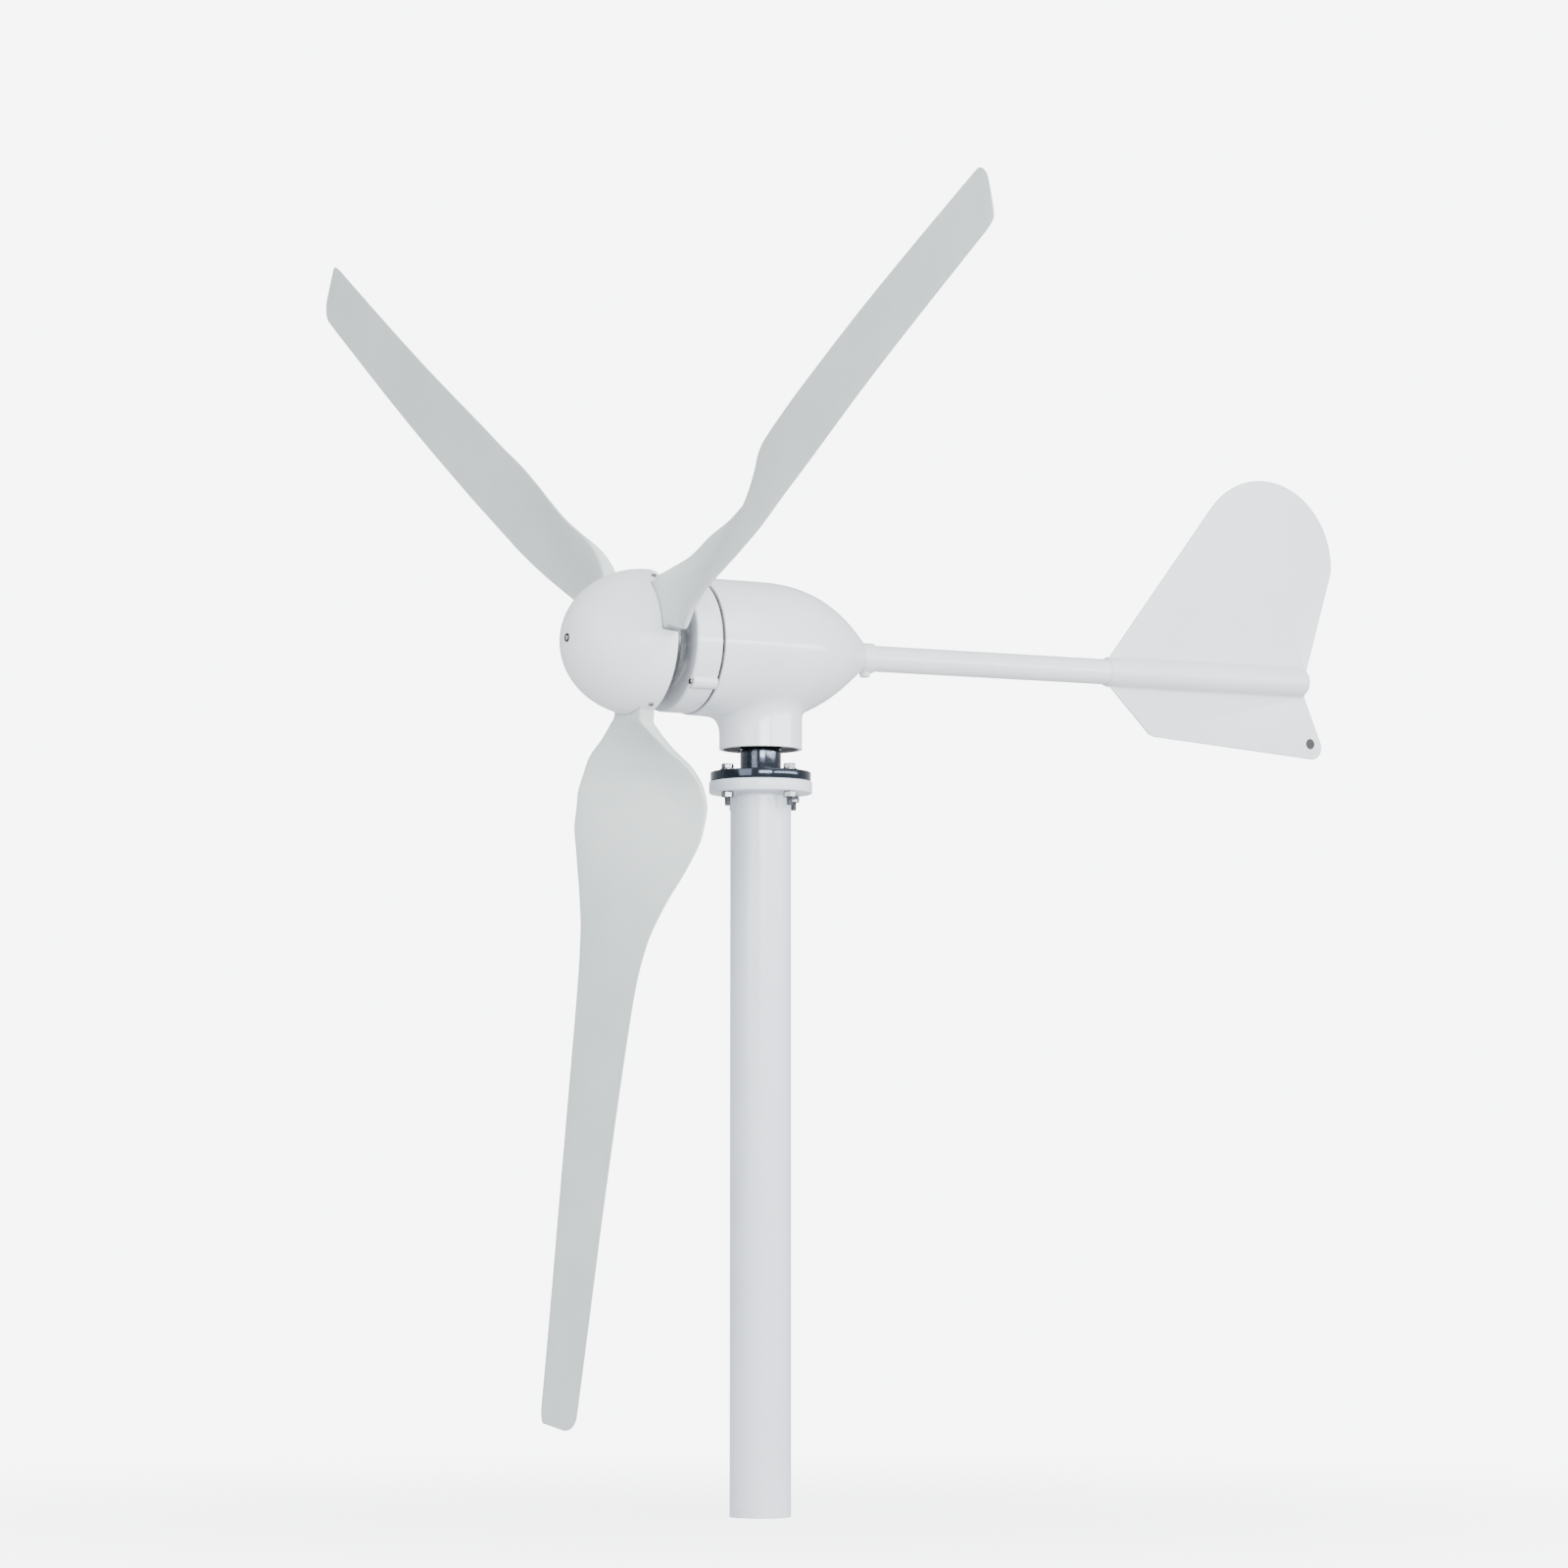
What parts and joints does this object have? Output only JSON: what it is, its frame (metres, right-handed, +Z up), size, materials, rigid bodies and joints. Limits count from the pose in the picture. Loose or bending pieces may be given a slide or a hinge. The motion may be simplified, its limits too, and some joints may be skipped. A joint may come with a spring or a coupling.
{
  "type": "small wind turbine",
  "caption": "Horizontal-axis micro wind turbine: bladed rotor on a bullet-shaped generator head that swings on a tube mast and is steered by a tail vane.",
  "frame": {"origin": "centre of the mast's foot, on its cut end face", "axes": "+Z up the mast, which is also the line the head turns about; the nose points along -Y and the tail along +Y at rest"},
  "size_m": [1.3479, 0.9208, 1.3199],
  "materials": {
    "white_paint": "gloss white powder coat",
    "white_casting": "gloss white powder coat on cast aluminium",
    "white_moulding": "gloss white moulding",
    "vane_moulding": "satin white moulding",
    "blade_moulding": "satin pale grey-green fibre-filled nylon",
    "dark_steel": "polished dark blued steel",
    "zinc_plate": "zinc-plated",
    "dark_alloy": "dark anodised, machined",
    "ground_steel": "ground",
    "ball_steel": "polished",
    "copper": "enamelled copper",
    "bronze": "sintered bronze",
    "black_moulding": "matt black moulding",
    "carbon": "carbon brush",
    "lamination_steel": "stacked electrical steel",
    "magnet": "nickel-coated magnets on a steel core"
  },
  "bodies": {
    "mast": {"mast_tube": "white_paint", "mast_flange": "white_paint", "yaw_base": "dark_steel", "flange_bolt_1": "zinc_plate", "flange_bolt_2": "zinc_plate", "flange_bolt_3": "zinc_plate", "flange_bolt_4": "zinc_plate", "flange_nut_1": "zinc_plate", "flange_nut_2": "zinc_plate", "flange_nut_3": "zinc_plate", "flange_nut_4": "zinc_plate", "yaw_nut": "zinc_plate", "yaw_bearing_inner": "ground_steel", "slip_ring_core": "black_moulding", "slip_ring_1": "copper", "slip_ring_2": "copper", "slip_ring_3": "copper"},
    "head": {"nacelle_housing": "white_casting", "front_cover": "white_casting", "front_cover_screw_1": "zinc_plate", "front_cover_screw_2": "zinc_plate", "front_cover_screw_3": "zinc_plate", "tail_socket": "white_casting", "boom_set_screw": "zinc_plate", "tail_boom": "white_casting", "tail_vane": "vane_moulding", "stator_core": "lamination_steel", "stator_winding": "copper", "front_bearing_outer": "ground_steel", "rear_bearing_outer": "ground_steel", "yaw_bearing_outer": "ground_steel", "yaw_bush": "bronze", "brush_holder": "black_moulding", "brush_1": "carbon", "brush_2": "carbon", "brush_3": "carbon"},
    "rotor": {"nose_cone": "white_moulding", "nose_screw": "zinc_plate", "nose_rim_screw_1": "zinc_plate", "nose_rim_screw_2": "zinc_plate", "nose_rim_screw_3": "zinc_plate", "blade_1": "blade_moulding", "blade_2": "blade_moulding", "blade_3": "blade_moulding", "blade_bolt_1": "zinc_plate", "blade_bolt_2": "zinc_plate", "blade_bolt_3": "zinc_plate", "blade_bolt_4": "zinc_plate", "blade_bolt_5": "zinc_plate", "blade_bolt_6": "zinc_plate", "hub_front_plate": "dark_alloy", "hub_rear_plate": "dark_alloy", "hub_nut": "zinc_plate", "rotor_shaft": "ground_steel", "magnet_rotor": "magnet", "front_bearing_inner": "ground_steel", "rear_bearing_inner": "ground_steel"},
    "yaw_ball_set": {"yaw_bearing_balls": "ball_steel"},
    "front_ball_set": {"front_bearing_balls": "ball_steel"},
    "rear_ball_set": {"rear_bearing_balls": "ball_steel"}
  },
  "joints": [
    {"name": "yaw", "type": "hinge", "parent": "mast", "child": "head", "pos_m": [0, 0, 0.75], "axis": [0, 0, 1], "continuous": true},
    {"name": "rotor_spin", "type": "hinge", "parent": "head", "child": "rotor", "pos_m": [0, -0.1368, 0.849], "axis": [0, 1, 0], "continuous": true},
    {"name": "yaw_balls_roll", "type": "hinge", "parent": "mast", "child": "yaw_ball_set", "pos_m": [0, 0, 0.75], "axis": [0, 0, 1], "continuous": true},
    {"name": "front_balls_roll", "type": "hinge", "parent": "head", "child": "front_ball_set", "pos_m": [0, -0.0977, 0.849], "axis": [0, 1, 0], "continuous": true},
    {"name": "rear_balls_roll", "type": "hinge", "parent": "head", "child": "rear_ball_set", "pos_m": [0, -0.0331, 0.849], "axis": [0, 1, 0], "continuous": true}
  ],
  "couplings": [
    {"joint": "yaw_balls_roll", "follows": "yaw", "ratio": 0.6},
    {"joint": "front_balls_roll", "follows": "rotor_spin", "ratio": 0.4},
    {"joint": "rear_balls_roll", "follows": "rotor_spin", "ratio": 0.4}
  ]
}
